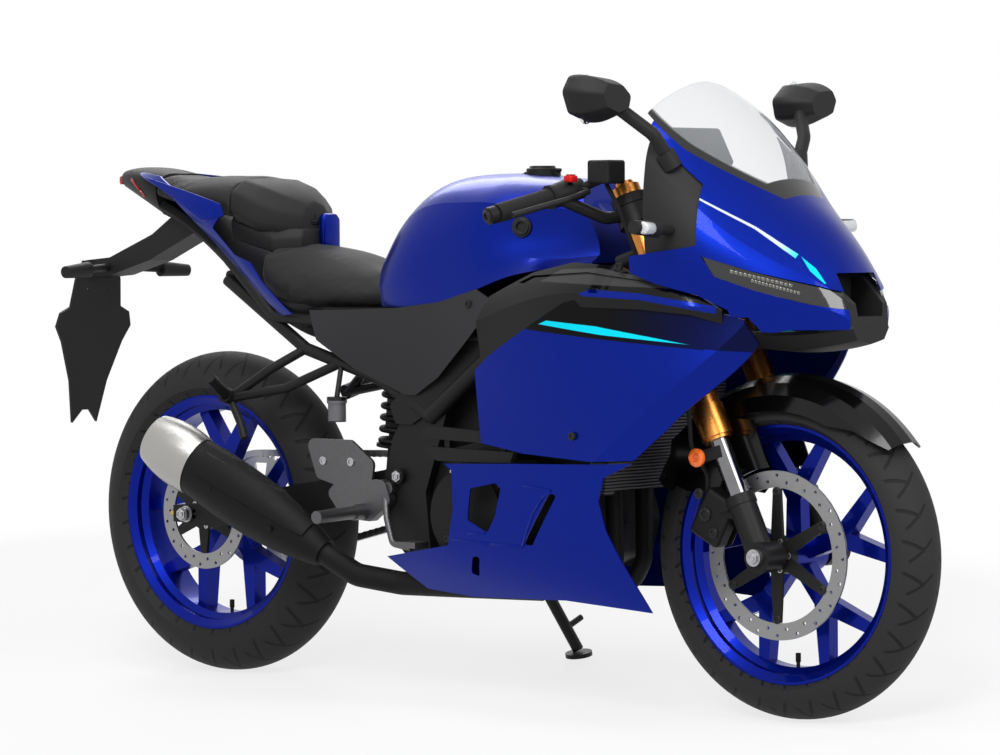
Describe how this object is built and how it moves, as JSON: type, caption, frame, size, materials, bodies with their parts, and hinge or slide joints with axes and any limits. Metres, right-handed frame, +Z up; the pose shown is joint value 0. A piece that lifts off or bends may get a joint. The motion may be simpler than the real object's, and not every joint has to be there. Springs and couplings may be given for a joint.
{
  "type": "sport motorcycle",
  "caption": "Small faired sport motorcycle, leaning on its side stand, with clip-on bars, telescopic fork, stepped seats and cast Y-spoked wheels.",
  "frame": {"origin": "centre of the bounding box on the ground, below the parked, leaning motorcycle", "axes": "+X forward along the wheelbase, +Y to the rider's left, +Z up; the machine leans 10 degrees towards +Y"},
  "size_m": [2.0891, 0.7862, 1.1765],
  "materials": {
    "tyre": "black road tyre rubber",
    "blue_wheel": "deep blue gloss paint on cast wheels",
    "steel": "ground stainless steel",
    "chrome": "hard chromed tube",
    "gold": "gold anodised aluminium",
    "black_metal": "satin black paint",
    "engine_black": "dark painted cast aluminium",
    "silver_metal": "silver satin aluminium",
    "rubber": "matte rubber",
    "black_plastic": "grained matte black plastic",
    "gloss_black": "gloss black plastic",
    "blue_paint": "deep blue gloss painted plastic",
    "clear_screen": "clear windscreen plastic",
    "lamp_glass": "dark lamp cover",
    "red_lens": "red lamp lens",
    "seat_cover": "black seat cover"
  },
  "bodies": {
    "chassis": {"chain": "steel", "engine": "engine_black", "exhaust_pipe": "black_metal", "fairing_stays": "black_metal", "frame": "black_metal", "front_cowl": "blue_paint", "fuel_tank": "blue_paint", "headlights": "lamp_glass", "indicators": "black_plastic", "instrument_panel": "black_plastic", "lower_cowls": "blue_paint", "mirrors": "black_plastic", "muffler": "black_metal", "muffler_end_cap": "steel", "nose_intake": "black_plastic", "pillion_pegs": "black_metal", "pillion_seat": "seat_cover", "pivot_bolt": "steel", "plate_holder": "black_plastic", "radiator": "black_metal", "rear_axle": "steel", "rear_brake": "black_metal", "rear_shock": "black_metal", "rider_pegs": "silver_metal", "rider_seat": "seat_cover", "side_covers": "black_plastic", "side_ducts": "gloss_black", "side_fairings": "blue_paint", "swingarm": "black_metal", "tail_centre": "black_plastic", "tail_cowls": "blue_paint", "tail_light": "red_lens", "tail_tray": "black_plastic", "windscreen": "clear_screen"},
    "fork": {"fork_yokes": "black_metal", "fork_tubes": "gold", "fork_sliders": "chrome", "fork_feet": "black_metal", "front_axle": "steel", "front_caliper": "black_metal", "handlebars": "black_metal", "grips": "rubber", "hand_controls": "black_plastic", "front_fender": "gloss_black", "brake_hose": "rubber"},
    "front_wheel": {"front_tyre": "tyre", "front_rim": "blue_wheel", "front_disc": "steel", "front_disc_carrier": "black_metal"},
    "rear_wheel": {"rear_tyre": "tyre", "rear_rim": "blue_wheel", "rear_disc": "steel", "rear_disc_carrier": "black_metal", "rear_sprocket": "steel"},
    "side_stand": {"side_stand": "black_metal"},
    "fuel_cap": {"fuel_cap": "black_metal"}
  },
  "joints": [
    {"name": "steering", "type": "hinge", "parent": "chassis", "child": "fork", "pos_m": [0.845, -0.156, 0.00106], "axis": [-0.4226, 0.1574, 0.8925], "range_deg": [-32, 32]},
    {"name": "front_wheel_spin", "type": "hinge", "parent": "fork", "child": "front_wheel", "pos_m": [0.75, -0.10512, 0.28961], "axis": [0, 0.9848, -0.1736], "continuous": true},
    {"name": "rear_wheel_spin", "type": "hinge", "parent": "chassis", "child": "rear_wheel", "pos_m": [-0.63, -0.10147, 0.31029], "axis": [0, 0.9848, -0.1736], "continuous": true},
    {"name": "side_stand_swing", "type": "hinge", "parent": "chassis", "child": "side_stand", "pos_m": [-0.034, 0.05106, 0.25395], "axis": [0.1497, 0.9526, 0.2648], "range_deg": [0, 95]},
    {"name": "fuel_cap_lid", "type": "hinge", "parent": "chassis", "child": "fuel_cap", "pos_m": [0.206, 0.01313, 0.96027], "axis": [0, 0.9848, -0.1736], "range_deg": [0, 90]}
  ]
}
